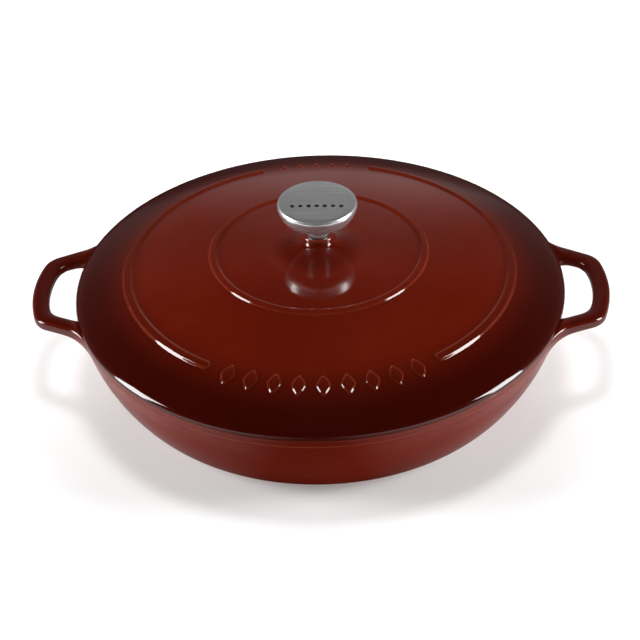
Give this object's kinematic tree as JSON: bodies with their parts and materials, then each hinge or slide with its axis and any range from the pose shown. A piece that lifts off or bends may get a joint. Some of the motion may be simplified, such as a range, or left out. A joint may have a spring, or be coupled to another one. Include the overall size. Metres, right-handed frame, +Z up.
{
  "type": "lidded casserole",
  "caption": "Round shallow enamelled cast iron casserole with loop handles on opposite sides and a domed lid with raised rings and a steel knob.",
  "frame": {"origin": "centre of the base, on the plane it stands on", "axes": "+Z up, +X along the line through both loop handles, -Y the front, where the long ornament row on the lid is"},
  "size_m": [0.3618, 0.306, 0.1242],
  "materials": {
    "enamelled_iron": "gloss",
    "knob_steel": "satin",
    "plated_steel": "satin"
  },
  "bodies": {
    "pan": {"pan_body": "enamelled_iron"},
    "washer": {"knob_washer": "plated_steel"},
    "lid": {"lid": "enamelled_iron", "lid_knob": "knob_steel", "knob_screw": "plated_steel", "lock_washer": "plated_steel"}
  },
  "joints": [
    {"name": "lid_lift", "type": "slide", "parent": "pan", "child": "washer", "axis": [0, 0, 1], "range_m": [0, 0.15]},
    {"name": "lid_turn", "type": "hinge", "parent": "washer", "child": "lid", "pos_m": [0, 0, 0.085], "axis": [0, 0, 1], "continuous": true}
  ]
}
